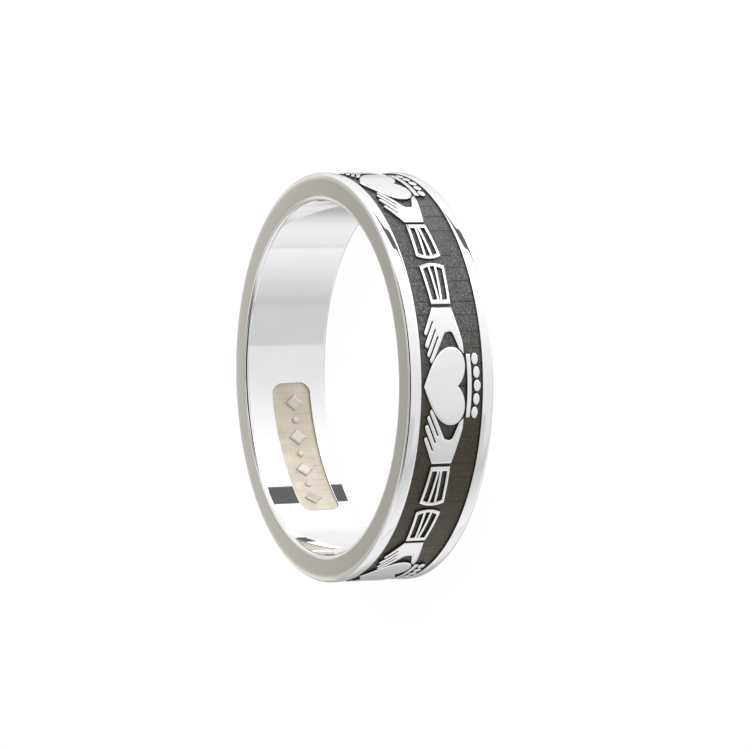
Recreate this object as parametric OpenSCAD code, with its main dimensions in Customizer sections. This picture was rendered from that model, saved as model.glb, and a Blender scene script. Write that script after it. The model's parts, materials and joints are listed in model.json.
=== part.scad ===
/* [Band] */
// Width of the band from face to face
band_w = 5; // [4.5:0.25:7]
// Inside diameter, which is the finger size
bore_d = 19.2; // [16:0.1:23]
// Thickness of the wall under the rims
wall = 1.5; // [1.2:0.1:2.2]
// Radius of the rounding at each mouth of the bore
mouth_round = 0.3; // [0.15:0.05:0.5]
// Radius of the rounding at the outer edges
edge_round = 0.1; // [0.05:0.05:0.3]

/* [Channel] */
// Width of each polished rim beside the channel
rim_w = 0.7; // [0.5:0.05:0.85]
// Depth of the blackened channel, which is also the height of the relief
channel_depth = 0.15; // [0.1:0.01:0.4]

/* [Claddagh] */
// Number of claddaghs around the band
motif_count = 5; // [4:1:6]
// Gap from the ornament to the rims
rim_gap = 0.14; // [0.05:0.01:0.3]
// Width of the heart along the band
heart_w = 4.14; // [3.4:0.02:4.6]
// Width of the dark line around the heart, between it and the hands
heart_line = 0.06; // [0.04:0.01:0.12]

/* [Crown] */
// Length of the crown's bar along the band
crown_l = 3.36; // [2.8:0.02:4]
// Thickness of the crown's bar
crown_bar = 0.25; // [0.15:0.01:0.35]
// Gap on each side of the crown's bar
crown_gap = 0.12; // [0.08:0.01:0.2]
// How far the ends of the crown's bar bow towards the heart
crown_bow = 0.05; // [0:0.01:0.1]
// Number of beads on the crown
bead_count = 5; // [3:2:7]
// Height of the middle bead across the band
bead_h = 0.41; // [0.3:0.01:0.5]
// Height of the other beads
side_bead_h = 0.38; // [0.25:0.01:0.45]
// How far the ends of the row of beads bow towards the heart
bead_bow = 0.14; // [0:0.01:0.2]
// Gap between two beads
bead_gap = 0.09; // [0.05:0.01:0.15]
// How far the row of beads reaches past each end of the bar
bead_reach = 0.05; // [0:0.01:0.12]

/* [Hands] */
// Length of a hand from the tip of its forefinger to its wrist
hand_l = 3; // [2.6:0.05:3.4]
// How far the forefinger reaches over the side of the heart
grip = 0.86; // [0.7:0.02:1]
// Width of the slits between the fingers
slit_w = 0.075; // [0.05:0.005:0.1]
// Width of the wrist, and of the cuff's narrow end
wrist_w = 1.13; // [1:0.01:1.3]
// Gap between a wrist and its cuff
wrist_gap = 0.19; // [0.1:0.01:0.3]

/* [Cuffs] */
// Width of the cuff's wide end
cuff_w = 1.43; // [1.2:0.01:1.7]
// Gap between the cuffs of two neighbouring claddaghs
cuff_gap = 0.28; // [0.1:0.02:0.5]
// Height of the arc at the cuff's wide end
cuff_bulge = 0.18; // [0.1:0.02:0.3]
// Thickness of the cuff's two side bars
side_bar = 0.15; // [0.1:0.01:0.2]
// Thickness of the cuff's bar next to the wrist
wrist_bar = 0.26; // [0.15:0.01:0.35]
// Thickness of the cuff's curved bar
end_bar = 0.19; // [0.12:0.01:0.25]
// Thickness of the two struts that part the cuff's three windows
strut_w = 0.13; // [0.08:0.01:0.16]
// Spacing of the struts at the narrow end
strut_near = 0.14; // [0.1:0.01:0.24]
// Spacing of the struts at the wide end
strut_far = 0.4; // [0.3:0.02:0.5]

/* [Plate inside the bore] */
// Length of the sunk plate around the bore
plate_l = 8.2; // [6:0.1:10]
// Width of the plate across the band
plate_w = 2.36; // [1.6:0.02:2.8]
// Radius of the plate's corners
plate_round = 0.65; // [0.2:0.05:0.75]
// Depth of the plate below the bore
plate_depth = 0.1; // [0.05:0.01:0.2]
// Offset of the plate from the middle of the band, towards the crowns
plate_shift = 0.36; // [0:0.02:0.4]
// Lean of the plate against the band
plate_lean = 1.5; // [0:0.5:2]
// Direction of the plate's middle around the bore, from the first heart
plate_turn = 209; // [0:1:360]
// Number of plain lozenges and dots in the plate's row
mark_count = 7; // [3:2:9]
// Length of a lozenge around the bore
mark_l = 0.88; // [0.5:0.02:1]
// Height of a lozenge across the band
mark_h = 1; // [0.6:0.05:1.2]
// Diameter of a dot
dot_d = 0.36; // [0.2:0.02:0.5]

/* [Hidden] */

$fn = 96;
degree = 180 / PI;
bore_r = bore_d / 2;
outer_r = bore_r + wall;
floor_r = outer_r - channel_depth;
channel_w = band_w - 2 * rim_w;
// Overshoot of a cut beyond the metal
over = 1;
// Steps in each rounded corner, each curve of the heart and each arc
corner_steps = 2;
curve_steps = 5;
arc_steps = 3;
bead_steps = 14;
lozenge_corners = 4;

// Half the arc length from one heart to the next
half_repeat = PI * outer_r / motif_count;

// Heights across the band, counted from the middle of the channel
heart_h = channel_w - 2 * rim_gap - bead_h - crown_bar - 2 * crown_gap;
heart_tip = channel_w / 2 - rim_gap;
heart_foot = heart_tip - heart_h;
bar_top = heart_foot - crown_gap;
bead_top = bar_top - crown_bar - crown_gap;

// Distance from one mark of the plate to the next
mark_pitch = (plate_l - 2 * plate_round) / mark_count;

// Columns of the tables
ALONG = 0;
ACROSS = 1;
ROUND = 2;

// Half of the heart as three curves of four points each, ends shared:
// share of half the heart's width, and share of its height above the lobes
HEART = [
    [0, 1],
    [0.631, 0.8],
    [1, 0.6],
    [1, 0.306],
    [1, 0.12],
    [0.785, 0],
    [0.54, 0],
    [0.345, 0],
    [0.12, 0.058],
    [0, 0.182],
];

// Corners of a hand without its slits: share of the hand's length from the
// forefinger's tip, share of the heart's height, and radius in the same share
FINGERS = [
    [0.52, 0.938, 0.035],
    [0.487, 0.852, 0.03],
    [0.3, 0.942, 0.035],
    [0.263, 0.852, 0.035],
    [0.133, 0.905, 0.03],
    [0.107, 0.85, 0.02],
    [0.033, 0.84, 0.02],
    [-0.01, 0.79, 0.01],
];
PALM = [
    [0.543, 0.43, 0.1],
    [0.567, 0.26, 0.08],
    [0.283, 0.132, 0.2],
    [0.167, 0.066, 0.01],
    [0.173, 0.012, 0.02],
    [0.35, 0.017, 0.3],
];
// Slits between the fingers: the mouth and the inner end, in the same shares
SLITS = [
    [[0.3, 0.974], [0.738, 0.692]],
    [[0.12, 0.942], [0.593, 0.65]],
    [[0, 0.894], [0.465, 0.607]],
];
// Middle of the arm across the band, as a share of the heart's height
ARM = 0.421;

// Places along the band, counted from the middle of the heart
finger_end = heart_w / 2 - grip;
wrist = finger_end + hand_l;
cuff_start = wrist + wrist_gap;
cuff_end = half_repeat - cuff_gap / 2;
cuff_corner = cuff_end - cuff_bulge;
arm_level = heart_foot + ARM * heart_h;
hand_middle = (finger_end + wrist) / 2;
cuff_middle = (cuff_start + cuff_end) / 2;

// Point on a cubic curve through p[0] and p[3]
function cubic(p, t) =
    pow(1 - t, 3) * p[0] + 3 * t * pow(1 - t, 2) * p[1]
    + 3 * t * t * (1 - t) * p[2] + pow(t, 3) * p[3];

// Arc of radius r that rounds the corner at b between a and c
function corner(a, b, c, r) =
    let (to_a = (a - b) / norm(a - b),
         to_c = (c - b) / norm(c - b),
         half = acos(to_a * to_c) / 2,
         middle = b + (to_a + to_c) / norm(to_a + to_c) * r / sin(half),
         from = b + to_a * r / tan(half) - middle,
         to = b + to_c * r / tan(half) - middle,
         start = atan2(from.y, from.x),
         turn = (atan2(to.y, to.x) - start + 540) % 360 - 180)
    [for (i = [0:corner_steps])
        middle + r * [cos(start + turn * i / corner_steps),
                      sin(start + turn * i / corner_steps)]];

// Outline with each corner rounded by its own radius, or kept sharp at 0
function rounded(rows) =
    let (n = len(rows),
         p = [for (row = rows) [row[ALONG], row[ACROSS]]])
    [for (i = [0:n - 1])
        each rows[i][ROUND] == 0
            ? [p[i]]
            : corner(p[(i + n - 1) % n], p[i], p[(i + 1) % n], rows[i][ROUND])];

// Points laid around a cylinder of radius r, as seen along its radius at middle
function wrapped(points, middle, r) =
    [for (p = points) [r * sin((p.x - middle) / r * degree), p.y]];

// Half of the heart's outline, grown outwards by line, from tip to notch
function heart_half(line) =
    [for (k = [0:2], i = [k == 0 ? 0 : 1:curve_steps])
        let (q = cubic([for (j = [0:3]) HEART[3 * k + j]], i / curve_steps))
        [q[ALONG] * (heart_w / 2 + line),
         heart_foot - line + q[ACROSS] * (heart_h + 2 * line)]];

// Whole outline of the heart: the right half, then the left half mirrored
function heart_outline(line) =
    let (half = heart_half(line), n = len(half))
    concat(half, [for (i = [n - 2:-1:1]) [-half[i].x, half[i].y]]);

// A row of the hand's tables as a place on the band
function on_hand(row) =
    [finger_end + row[ALONG] * hand_l, heart_foot + row[ACROSS] * heart_h];

// Stands a flat outline out along the radius, from the axis past the rims
module stand_out(angle) {
    rotate([0, 0, angle]) rotate([90, 0, 90])
        linear_extrude(outer_r + over)
            translate([0, band_w / 2]) children();
}

// Places a flat outline at a distance along the band, and its mirror image
module both_sides(middle) {
    stand_out(middle / outer_r * degree) children();
    stand_out(-middle / outer_r * degree) mirror([1, 0]) children();
}

module heart() {
    color("Gainsboro") stand_out(0)
        polygon(wrapped(heart_outline(0), 0, outer_r));
}

// Rise of a bowed row at a distance from its middle, with its rise at the ends
function bow(along, rise) = rise * pow(2 * along / crown_l, 2);

module crown() {
    edge = [for (i = [-arc_steps:arc_steps]) i / arc_steps * crown_l / 2];
    upper = [for (u = edge) [u, bar_top + bow(u, crown_bow)]];
    lower = [for (u = edge) [-u, bar_top - crown_bar + bow(u, crown_bow)]];
    row_l = crown_l + 2 * bead_reach;
    pitch = (row_l + bead_gap) / bead_count;
    last = (bead_count - 1) / 2;
    color("Gainsboro") {
        stand_out(0)
            polygon(wrapped(concat(upper, lower), 0, outer_r));
        for (k = [-last:last])
            bead(k * pitch, bead_top + bow(k * pitch, bead_bow),
                 pitch - bead_gap, k == 0 ? bead_h : side_bead_h);
    }
}

// Oval bead of the crown, hung from its top
module bead(along, top, length, height) {
    stand_out(along / outer_r * degree)
        polygon([for (i = [0:bead_steps - 1])
            let (a = 360 * i / bead_steps)
            [length / 2 * cos(a), top - height / 2 * (1 - sin(a))]]);
}

// The slit from the mouth p to its inner end q
module slit(p, q) {
    side = [p.y - q.y, q.x - p.x] / norm(q - p) * slit_w / 2;
    tip = (q - p) / norm(q - p) * slit_w / 2;
    polygon(wrapped([p + side, q + side, q + tip, q - side, p - side],
                    hand_middle, outer_r));
}

module hand() {
    wrist_corners = [
        [wrist, arm_level - wrist_w / 2, 0],
        [wrist, arm_level + wrist_w / 2, 0],
    ];
    outline = concat([for (row = concat(FINGERS, PALM))
                         [each on_hand(row), row[ROUND] * heart_h]],
                     wrist_corners);
    color("Gainsboro") both_sides(hand_middle) difference() {
        polygon(wrapped(rounded(outline), hand_middle, outer_r));
        for (s = SLITS) slit(on_hand(s[0]), on_hand(s[1]));
        polygon(wrapped(heart_outline(heart_line), hand_middle, outer_r));
    }
}

// Cuff outline drawn in by its side, wrist and end bars, with a curved end
function cuff_outline(side, near, end) =
    let (half = function(u) wrist_w / 2 + (cuff_w - wrist_w) / 2
                * (u - cuff_start) / (cuff_corner - cuff_start) - side,
         first = cuff_start + near,
         last = cuff_corner - end)
    concat([[first, arm_level + half(first)], [first, arm_level - half(first)]],
           [for (i = [-arc_steps:arc_steps])
               [last + cuff_bulge * (1 - pow(i / arc_steps, 2)),
                arm_level + half(last) * i / arc_steps]]);

module cuff() {
    color("Gainsboro") both_sides(cuff_middle) difference() {
        polygon(wrapped(cuff_outline(0, 0, 0), cuff_middle, outer_r));
        difference() {
            polygon(wrapped(cuff_outline(side_bar, wrist_bar, end_bar),
                            cuff_middle, outer_r));
            for (s = [-1, 1]) {
                near = arm_level + s * strut_near / 2;
                far = arm_level + s * strut_far / 2;
                half = strut_w / 2;
                polygon(wrapped([[cuff_start, near + half], [cuff_start, near - half],
                                 [cuff_end, far - half], [cuff_end, far + half]],
                                cuff_middle, outer_r));
            }
        }
    }
}

module claddagh() {
    heart();
    crown();
    hand();
    cuff();
}

// Ring blank, turned from one profile with four rounded edges
module blank() {
    color("Silver") rotate_extrude() {
        translate([bore_r, mouth_round])
            square([wall / 2, band_w - 2 * mouth_round]);
        translate([outer_r - wall / 2, edge_round])
            square([wall / 2, band_w - 2 * edge_round]);
        translate([bore_r + mouth_round, 0])
            square([wall - mouth_round - edge_round, band_w]);
        for (z = [mouth_round, band_w - mouth_round])
            translate([bore_r + mouth_round, z]) circle(mouth_round);
        for (z = [edge_round, band_w - edge_round])
            translate([outer_r - edge_round, z]) circle(edge_round);
    }
}

// Channel cut around the band, which leaves the claddaghs standing
module channel() {
    color("DimGray") difference() {
        rotate_extrude() translate([floor_r, rim_w])
            square([channel_depth + over, channel_w]);
        for (k = [0:motif_count - 1])
            rotate([0, 0, k * 360 / motif_count]) claddagh();
    }
}

// Plain lozenge or dot that stands in the plate, level with the bore, at a
// distance from the plate's middle along its leaning row
module mark(along, lozenge) {
    points = lozenge ? lozenge_corners : bead_steps;
    length = lozenge ? mark_l : dot_d;
    height = lozenge ? mark_h : dot_d;
    stand_out(plate_turn + along / bore_r * degree)
        translate([0, -plate_shift - along * sin(plate_lean)])
            polygon([for (i = [0:points - 1])
                let (a = 360 * i / points)
                [length / 2 * cos(a), height / 2 * sin(a)]]);
}

// Sunk plate inside the bore, with a row of plain marks left standing
module plate() {
    l = plate_l / 2;
    w = plate_w / 2;
    r = plate_round;
    outline = [for (p = rounded([[l, w, r], [-l, w, r], [-l, -w, r], [l, -w, r]]))
        [p.x * cos(plate_lean) + p.y * sin(plate_lean),
         p.y * cos(plate_lean) - p.x * sin(plate_lean)]];
    last = (mark_count - 1) / 2;
    color("Tan") difference() {
        intersection() {
            stand_out(plate_turn) translate([0, -plate_shift])
                polygon(wrapped(outline, 0, bore_r));
            cylinder(h = band_w, r = bore_r + plate_depth);
        }
        for (k = [-last:last])
            mark(k * mark_pitch, (k + last) % 2 == 0);
    }
}

// The ring in one piece of silver, with the first heart facing -Y
module band() {
    rotate([0, 0, -90]) difference() {
        blank();
        channel();
        plate();
    }
}

band();
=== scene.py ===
import json
import math

import bpy
import numpy as np
from bpy.props import FloatProperty, FloatVectorProperty, IntProperty, PointerProperty
from mathutils import Matrix, Vector
from mathutils.geometry import delaunay_2d_cdt


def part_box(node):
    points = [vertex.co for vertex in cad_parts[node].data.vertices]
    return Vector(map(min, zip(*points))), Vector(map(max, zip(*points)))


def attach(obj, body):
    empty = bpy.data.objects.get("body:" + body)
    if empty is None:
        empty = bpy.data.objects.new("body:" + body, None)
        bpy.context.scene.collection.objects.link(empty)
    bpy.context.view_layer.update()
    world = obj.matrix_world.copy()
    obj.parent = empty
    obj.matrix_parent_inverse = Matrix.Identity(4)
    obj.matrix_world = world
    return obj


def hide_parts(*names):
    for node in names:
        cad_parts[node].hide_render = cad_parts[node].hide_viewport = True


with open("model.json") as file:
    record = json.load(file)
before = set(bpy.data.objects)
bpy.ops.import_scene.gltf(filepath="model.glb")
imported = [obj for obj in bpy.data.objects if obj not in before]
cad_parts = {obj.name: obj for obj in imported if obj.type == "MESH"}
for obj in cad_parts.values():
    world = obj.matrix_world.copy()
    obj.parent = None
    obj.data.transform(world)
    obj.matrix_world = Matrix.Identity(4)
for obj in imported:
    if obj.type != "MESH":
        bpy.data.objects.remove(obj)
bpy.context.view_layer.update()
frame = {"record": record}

bl_info = {
    "name": "Claddagh Ring",
    "version": (1, 0, 0),
    "blender": (4, 5, 0),
    "location": "View3D > Sidebar > Ring",
    "description": "Builds a silver claddagh ring with its polished, blackened and matt surfaces",
    "category": "Mesh",
}

BAND_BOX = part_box("band")
MOUNTS = {mount["name"]: mount for mount in frame["record"]["mounts"]}
MM = 0.001

# Finishes of the ring, in the order of the mesh's material slots
POLISHED, SATIN, BLACKENED, RELIEF, PLATE, PLATE_WALL, MARK = range(7)

# Steps around the band, and the turn of one of them
STEPS_ROUND = 360
STEP = math.tau / STEPS_ROUND
# Smallest distance that still parts two points
SAME_POINT = 0.0001 * MM
# Shortest and longest edge of an outline that is bent around the band
SHORTEST_EDGE = 0.012 * MM
LONGEST_EDGE = 0.2 * MM
# Spacing of the points that round the relief's tops and the plate's floor
RELIEF_GRID = 0.11 * MM
PLATE_GRID = 0.16 * MM
# Kind of triangulation that also fills the space around the outlines
WHOLE_HULL = 0
# Two edges of an outline that turn by more than this meet in a crisp corner
CRISP = math.cos(math.radians(32))
# Below this the mitre of a sharp corner is cut short
SHARPEST_MITRE = 0.4
# A polished fall beside an edge grows with this power of the way to the edge
FALL_POWER = 4
# Rings of points over a broken edge
EDGE_RINGS = 4


def length(name, description, metres):
    """A length that the user can set, with its default in metres."""
    return FloatProperty(name=name, description=description, default=metres,
                         min=0.0, unit="LENGTH", precision=6)


def share(name, description, value):
    """A setting between nothing and all."""
    return FloatProperty(name=name, description=description, default=value,
                         min=0.0, max=1.0, subtype="FACTOR")


def angle(name, description, degrees):
    """An angle that the user can set, with its default in degrees."""
    return FloatProperty(name=name, description=description,
                         default=math.radians(degrees), subtype="ANGLE")


def colour(name, description, red, green, blue):
    """A linear colour that the user can set."""
    return FloatVectorProperty(name=name, description=description, size=3,
                               default=(red, green, blue), min=0.0, max=1.0,
                               subtype="COLOR")


class BandSizes(bpy.types.PropertyGroup):
    """Sizes of the band without its ornament."""
    width: length("Width", "Width of the band from face to face",
                  BAND_BOX[1].z - BAND_BOX[0].z)
    outer_d: length("Outside diameter", "Diameter over the rims",
                    BAND_BOX[1].x - BAND_BOX[0].x)
    bore_d: length("Bore", "Inside diameter, which is the finger size",
                   2 * MOUNTS["finger_bore"]["dims"]["r_mm"] * MM)
    mouth_w: length("Mouth width", "How much wider the bore is at its mouths", 0.3 * MM)
    mouth_h: length("Mouth depth", "How deep the rounding of a mouth reaches", 0.22 * MM)
    face_fall: length("Face fall", "Width of the side face's fall at its outer edge", 0.45 * MM)
    face_drop: length("Face drop", "How far the side face falls there", 0.02 * MM)
    edge_round: length("Edge rounding", "Rounding from a rim to its side face", 0.19 * MM)
    rim_w: length("Rim width", "Width of each rim beside the channel", 0.7 * MM)
    rim_drop: length("Rim drop", "How far a rim falls away at its two edges", 0.042 * MM)
    lip: length("Lip", "Rounding from a rim to the channel", 0.02 * MM)
    channel_depth: length("Channel depth", "Depth of the channel below the rims", 0.15 * MM)


class HeartSizes(bpy.types.PropertyGroup):
    """Sizes of the hearts and of the row that they make."""
    count: IntProperty(name="Claddaghs", description="Number of claddaghs around the band",
                       default=5, min=1, max=8)
    rim_gap: length("Rim gap", "Gap from the ornament to the rims", 0.14 * MM)
    width: length("Width", "Width of the heart along the band", 4.14 * MM)
    line: length("Line", "Width of the dark line between heart and hands", 0.06 * MM)


class CrownSizes(bpy.types.PropertyGroup):
    """Sizes of the crowns."""
    length: length("Length", "Length of the bar along the band", 3.36 * MM)
    bar: length("Bar", "Thickness of the bar", 0.25 * MM)
    gap: length("Gap", "Gap on each side of the bar", 0.12 * MM)
    bow: length("Bow", "How far the ends of the bar bow towards the heart", 0.05 * MM)
    beads: IntProperty(name="Beads", description="Number of beads on a crown",
                       default=5, min=3, max=9)
    bead_h: length("Middle bead", "Height of the middle bead", 0.41 * MM)
    side_bead_h: length("Side beads", "Height of the other beads", 0.38 * MM)
    bead_bow: length("Bead bow", "How far the row of beads bows towards the heart", 0.14 * MM)
    bead_gap: length("Bead gap", "Gap between two beads", 0.09 * MM)
    bead_reach: length("Bead reach", "How far the beads reach past the bar", 0.05 * MM)


class HandSizes(bpy.types.PropertyGroup):
    """Sizes of the hands."""
    length: length("Length", "Length from the forefinger's tip to the wrist", 3.0 * MM)
    grip: length("Grip", "How far the forefinger reaches over the heart's side", 0.86 * MM)
    slit_w: length("Slits", "Width of the slits between the fingers", 0.075 * MM)
    wrist_w: length("Wrist", "Width of the wrist", 1.13 * MM)
    wrist_gap: length("Wrist gap", "Gap between a wrist and its cuff", 0.19 * MM)


class CuffSizes(bpy.types.PropertyGroup):
    """Sizes of the cuffs."""
    width: length("Width", "Width of the cuff's wide end", 1.43 * MM)
    gap: length("Gap", "Gap between the cuffs of two claddaghs", 0.28 * MM)
    bulge: length("Bulge", "Height of the arc at the wide end", 0.18 * MM)
    side_bar: length("Side bars", "Thickness of the two side bars", 0.15 * MM)
    wrist_bar: length("Wrist bar", "Thickness of the bar next to the wrist", 0.26 * MM)
    end_bar: length("End bar", "Thickness of the curved bar", 0.19 * MM)
    strut_w: length("Struts", "Thickness of the two struts between the windows", 0.13 * MM)
    strut_near: length("Near spacing", "Spacing of the struts at the narrow end", 0.14 * MM)
    strut_far: length("Far spacing", "Spacing of the struts at the wide end", 0.4 * MM)
    corner: length("Corners", "Radius of the cuff's corners", 0.04 * MM)


class PlateSizes(bpy.types.PropertyGroup):
    """Sizes of the sunk plate inside the bore and of its plain marks."""
    length: length("Length", "Length of the plate around the bore", 8.2 * MM)
    width: length("Width", "Width of the plate across the band", 2.36 * MM)
    corner: length("Corners", "Radius of the plate's corners", 0.65 * MM)
    depth: length("Depth", "Depth of the plate below the bore", 0.1 * MM)
    lip: length("Lip", "Rounding from the bore to the plate's wall", 0.03 * MM)
    shift: length("Shift", "Offset towards the crowns from mid band", 0.36 * MM)
    lean: angle("Lean", "Lean of the plate against the band", 1.5)
    turn: angle("Turn", "Direction of the plate's middle from the first heart", 209)
    marks: IntProperty(name="Marks", description="Number of plain lozenges and dots",
                       default=7, min=1, max=11)
    mark_l: length("Lozenge length", "Length of a lozenge around the bore", 0.88 * MM)
    mark_h: length("Lozenge height", "Height of a lozenge across the band", 1.0 * MM)
    dot_d: length("Dots", "Diameter of a dot", 0.36 * MM)


class EdgeSizes(bpy.types.PropertyGroup):
    """How the edges of the ornament are broken and softened by polishing."""
    crisp: length("Crisp edge", "Radius at the very edge of the ornament", 0.02 * MM)
    soft_w: length("Soft edge", "Width of the polished fall beside an edge", 0.16 * MM)
    soft_drop: length("Soft drop", "How far the top falls at an edge", 0.016 * MM)
    draft: length("Draft", "How much wider the ornament is at the channel's floor", 0.02 * MM)
    seat: length("Seat", "How far the ornament is rooted below the floor", 0.02 * MM)


class FinishColours(bpy.types.PropertyGroup):
    """Colours and polish of the ring's finishes."""
    silver: colour("Silver", "Colour of the polished silver", 0.93, 0.93, 0.925)
    black: colour("Blackened silver", "Colour of the channel on its brown side",
                  0.032, 0.020, 0.0075)
    # The grey side's black and frost are paler than the brown side's: partly thinner tarnish,
    # partly painted light
    black_grey_lit: colour("Grey lit black", "Colour of the channel on its grey side",
                       0.058, 0.050, 0.038)
    black_deep: colour("Deep tarnish", "Colour of the darkest stretches of the channel",
                       0.016, 0.010, 0.005)
    frost: colour("Frost", "Colour of the bright grains on the brown side", 0.112, 0.1, 0.072)
    frost_grey_lit: colour("Grey lit frost", "Colour of the bright grains on the grey side",
                       0.22, 0.226, 0.235)
    plate: colour("Plate", "Colour of the matt plate", 0.76, 0.69, 0.57)
    # The plate's paler end is painted light
    plate_lit_end: colour("Pale plate", "Colour of the plate's paler end", 0.89, 0.822, 0.69)
    plate_deep: colour("Plate lines", "Colour of the fine lines of the plate",
                       0.36, 0.30, 0.22)
    plate_wall: colour("Plate edge", "Colour of the wall around the plate", 0.26, 0.22, 0.16)
    mark: colour("Marks", "Colour of the plate marks", 0.68, 0.635, 0.56)
    polish: share("Polish", "Roughness of the rims and the bore", 0.035)
    satin: share("Satin", "Roughness of the side faces", 0.07)
    relief: share("Relief", "Roughness of the ornament's tops", 0.17)


class StudioSettings(bpy.types.PropertyGroup):
    """The camera, the floor and the light."""
    distance: length("Distance", "From the camera to the middle of the ring", 0.263424)
    elevation: angle("Elevation", "Height of the camera above the ring's plane", 25.735)
    turn: angle("Turn", "Direction of the camera around the ring", -86.84)
    roll: angle("Roll", "Roll of the camera, with the ring's upper face to the left", -1.387)
    focal: length("Lens", "Focal length of the camera", 0.232560)
    centre_x: FloatProperty(name="Centre across", default=360.45, subtype="PIXEL",
                            description="Where the ring's middle falls across the picture")
    centre_y: FloatProperty(name="Centre down", default=376.70, subtype="PIXEL",
                            description="Where the ring's middle falls down the picture")
    picture: FloatProperty(name="Picture", default=750.0, subtype="PIXEL",
                           description="Width and height of the picture")
    floor_r: length("Floor", "Radius of the floor", 1.2)
    light: FloatProperty(name="Light", default=1.0, min=0.0,
                         description="Strength of the studio light")


SETTINGS = {
    "ring_band": BandSizes, "ring_heart": HeartSizes, "ring_crown": CrownSizes,
    "ring_hand": HandSizes, "ring_cuff": CuffSizes, "ring_plate": PlateSizes,
    "ring_edge": EdgeSizes, "ring_finish": FinishColours, "ring_studio": StudioSettings,
}

# Columns of the tables of the hand
ALONG, ACROSS, ROUND = range(3)

# Half of the heart as three curves of four points each, ends shared:
# share of half the heart's width, and share of its height above the lobes
HEART = [(0, 1), (0.631, 0.8), (1, 0.6), (1, 0.306), (1, 0.12), (0.785, 0), (0.54, 0),
         (0.345, 0), (0.12, 0.058), (0, 0.182)]

# Corners of a hand without its slits: share of the hand's length from the
# forefinger's tip, share of the heart's height, and radius in the same share
FINGERS = [
    (0.52, 0.938, 0.035), (0.487, 0.852, 0.03), (0.3, 0.942, 0.035), (0.263, 0.852, 0.035),
    (0.133, 0.905, 0.03), (0.107, 0.85, 0.02), (0.033, 0.84, 0.02), (-0.01, 0.79, 0.01),
]
PALM = [
    (0.543, 0.43, 0.1), (0.567, 0.26, 0.08), (0.283, 0.132, 0.2), (0.167, 0.066, 0.01),
    (0.173, 0.012, 0.02), (0.35, 0.017, 0.3),
]
# Slits between the fingers: the mouth and the inner end, in the same shares
SLITS = [((0.3, 0.974), (0.738, 0.692)), ((0.12, 0.942), (0.593, 0.65)),
         ((0, 0.894), (0.465, 0.607))]
# Middle of the arm across the band, as a share of the heart's height
ARM = 0.421


class Layout:
    """Places of one claddagh: along the band from the heart's middle, and across it
    from the middle of the channel."""

    def __init__(self, scene):
        band = scene.ring_band
        self.heart, self.crown = scene.ring_heart, scene.ring_crown
        self.hand, self.cuff = scene.ring_hand, scene.ring_cuff
        self.outer_r = band.outer_d / 2
        self.repeat = math.tau / self.heart.count
        channel_w = band.width - 2 * band.rim_w
        self.heart_h = (channel_w - 2 * self.heart.rim_gap - self.crown.bead_h
                        - self.crown.bar - 2 * self.crown.gap)
        self.heart_foot = channel_w / 2 - self.heart.rim_gap - self.heart_h
        self.bar_top = self.heart_foot - self.crown.gap
        self.bead_top = self.bar_top - self.crown.bar - self.crown.gap
        self.arm = self.heart_foot + ARM * self.heart_h
        self.finger_end = self.heart.width / 2 - self.hand.grip
        self.wrist = self.finger_end + self.hand.length
        self.cuff_start = self.wrist + self.hand.wrist_gap
        self.cuff_end = self.outer_r * self.repeat / 2 - self.cuff.gap / 2
        self.cuff_corner = self.cuff_end - self.cuff.bulge

    def on_hand(self, row):
        """A row of the hand's tables as a place on the band."""
        return np.array([self.finger_end + row[ALONG] * self.hand.length,
                         self.heart_foot + row[ACROSS] * self.heart_h])


def pairs(row):
    """Each entry of a list with the next one, once around."""
    return list(zip(row, row[1:] + row[:1]))


def numbered(loops):
    """Numbers of the points of each loop, counted on through all the loops."""
    numbers, first = [], 0
    for loop in loops:
        numbers.append(list(range(first, first + len(loop))))
        first += len(loop)
    return numbers


def unit(vectors):
    """The same directions with length one."""
    return vectors / np.linalg.norm(vectors, axis=-1, keepdims=True)


def rounded(rows, steps=6):
    """Outline with each corner rounded by its own radius, or kept sharp at 0."""
    points = np.array([row[:2] for row in rows])
    outline = []
    for i, b in enumerate(points):
        r = rows[i][ROUND]
        if not r:
            outline.append(b)
            continue
        to_a = unit(points[i - 1] - b)
        to_c = unit(points[(i + 1) % len(points)] - b)
        half = math.acos(np.dot(to_a, to_c)) / 2
        middle = b + unit(to_a + to_c) * r / math.sin(half)
        start, end = (b + arm * r / math.tan(half) - middle for arm in (to_a, to_c))
        first = math.atan2(start[1], start[0])
        turn = math.atan2(end[1], end[0]) - first
        turn = (turn + math.pi) % math.tau - math.pi
        outline += [middle + r * np.array([math.cos(first + turn * k / steps),
                                           math.sin(first + turn * k / steps)])
                    for k in range(steps + 1)]
    return np.array(outline)


def oval(centre, half_length, half_height, steps=28):
    """Ellipse around a centre."""
    turns = np.arange(steps) * math.tau / steps
    return centre + np.column_stack([half_length * np.cos(turns),
                                     half_height * np.sin(turns)])


def mirrored(outline):
    """The outline on the other side of the heart, turned the same way round."""
    return outline[::-1] * [-1, 1]


def heart_outline(lay, line=0.0, steps=12):
    """Outline of the heart, grown outwards by line."""
    half = []
    for k in range(3):
        a, b, c, d = (np.array(p) for p in HEART[3 * k:3 * k + 4])
        for i in range(steps):
            t = i / steps
            half.append((1 - t) ** 3 * a + 3 * t * (1 - t) ** 2 * b
                        + 3 * t * t * (1 - t) * c + t ** 3 * d)
    half.append(np.array(HEART[-1]))
    half = np.array(half) * [lay.heart.width / 2 + line, lay.heart_h + 2 * line]
    half += [0, lay.heart_foot - line]
    return np.vstack([half, (half * [-1, 1])[-2:0:-1]])[::-1]


def bowed(lay, along, rise):
    """Rise of a bowed row of the crown at a distance from its middle."""
    return rise * (2 * along / lay.crown.length) ** 2


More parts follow.
